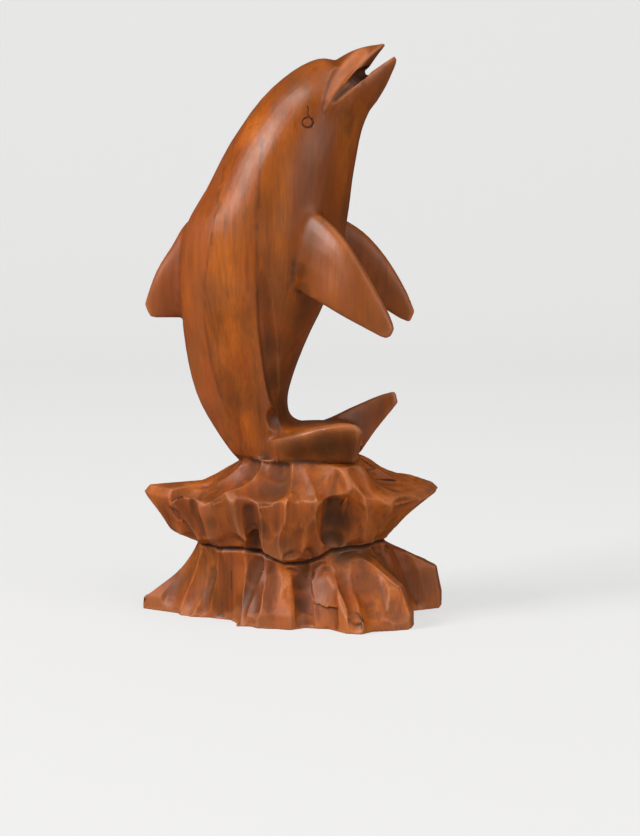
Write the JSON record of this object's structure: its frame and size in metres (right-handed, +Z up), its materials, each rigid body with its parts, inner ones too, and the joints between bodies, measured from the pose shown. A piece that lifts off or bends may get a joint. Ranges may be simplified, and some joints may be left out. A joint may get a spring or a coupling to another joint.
{
  "type": "carved dolphin figurine",
  "caption": "Carved wooden dolphin leaping upright from a two-tiered rock base, beak parted and flukes spread over the rock.",
  "frame": {"origin": "on the flat underside of the rock, below the middle of the leap", "axes": "+Z up, +X the way the belly and the beak point, +Y to the dolphin's left"},
  "size_m": [0.1449, 0.1002, 0.272],
  "materials": {
    "carving": "reddish brown stain under a satin wax"
  },
  "bodies": {
    "root": {"carved_dolphin": "carving"}
  },
  "joints": []
}
